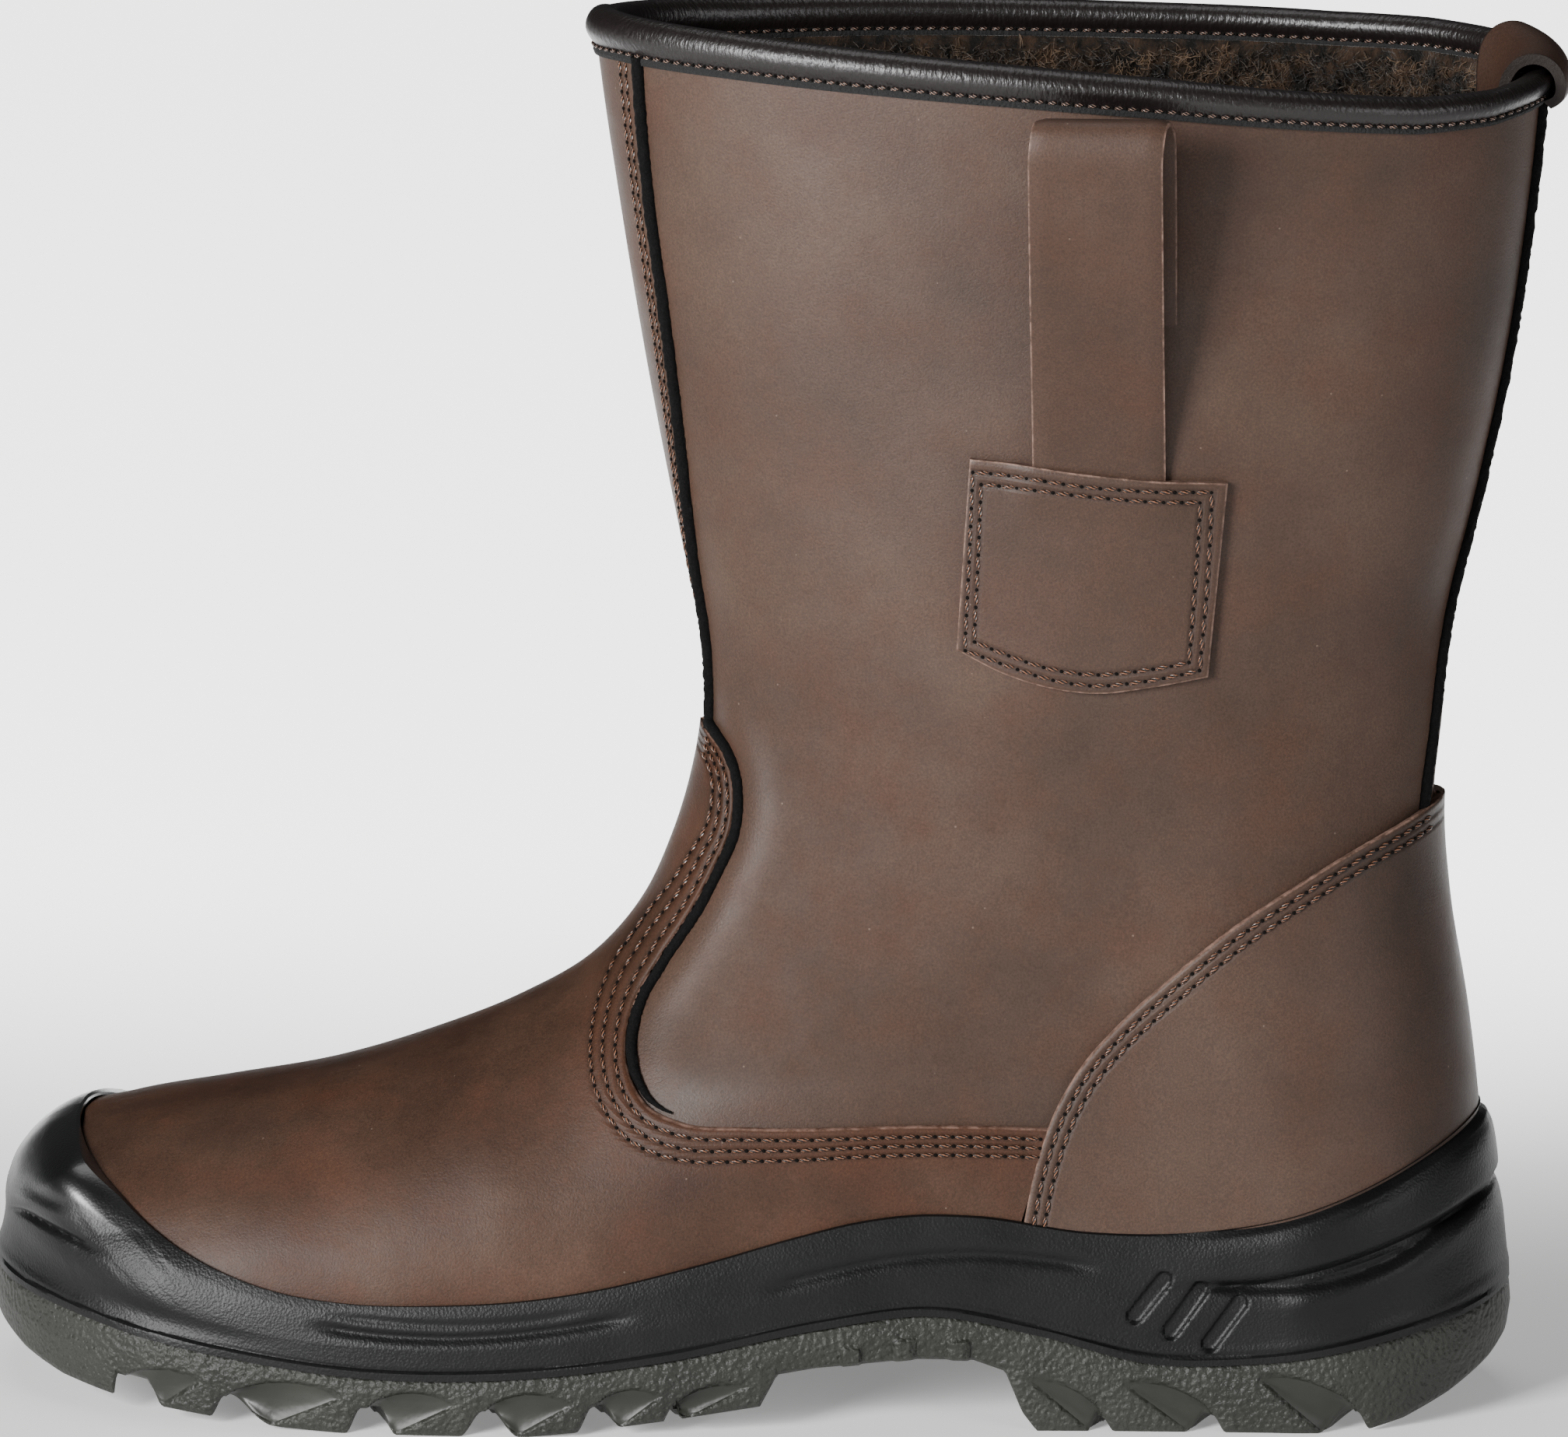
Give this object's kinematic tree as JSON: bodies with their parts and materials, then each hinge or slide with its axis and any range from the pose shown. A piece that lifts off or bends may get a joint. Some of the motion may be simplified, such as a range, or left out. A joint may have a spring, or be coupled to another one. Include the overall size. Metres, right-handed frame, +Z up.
{
  "type": "tall safety boot",
  "caption": "Tall pull-on safety boot for the left foot: leather shaft with padded collar, side pull straps, rear finger loop, moulded toe scuff cap and lugged rubber sole.",
  "frame": {"origin": "middle of the boot's bounding box on the floor", "axes": "+X towards the heel, -X towards the toe, -Y to the outer side of the foot, +Z up"},
  "size_m": [0.3232, 0.1228, 0.2842],
  "materials": {
    "leather": "smooth oiled brown leather",
    "strap": "brown leather strip",
    "binding": "padded black leather roll",
    "piping": "black felt cord",
    "midsole": "moulded black polyurethane",
    "outsole": "textured dark grey rubber",
    "footbed": "felt footbed"
  },
  "bodies": {
    "root": {"outsole": "outsole", "midsole": "midsole", "insole": "footbed", "upper": "leather", "vamp": "leather", "heel_counter": "leather", "collar_binding": "binding", "piping_front": "piping", "piping_back": "piping", "piping_vamp_lateral": "piping", "piping_vamp_medial": "piping", "pull_strap_lateral": "strap", "pull_strap_medial": "strap", "strap_patch_lateral": "leather", "strap_patch_medial": "leather", "rear_loop": "strap"}
  },
  "joints": []
}
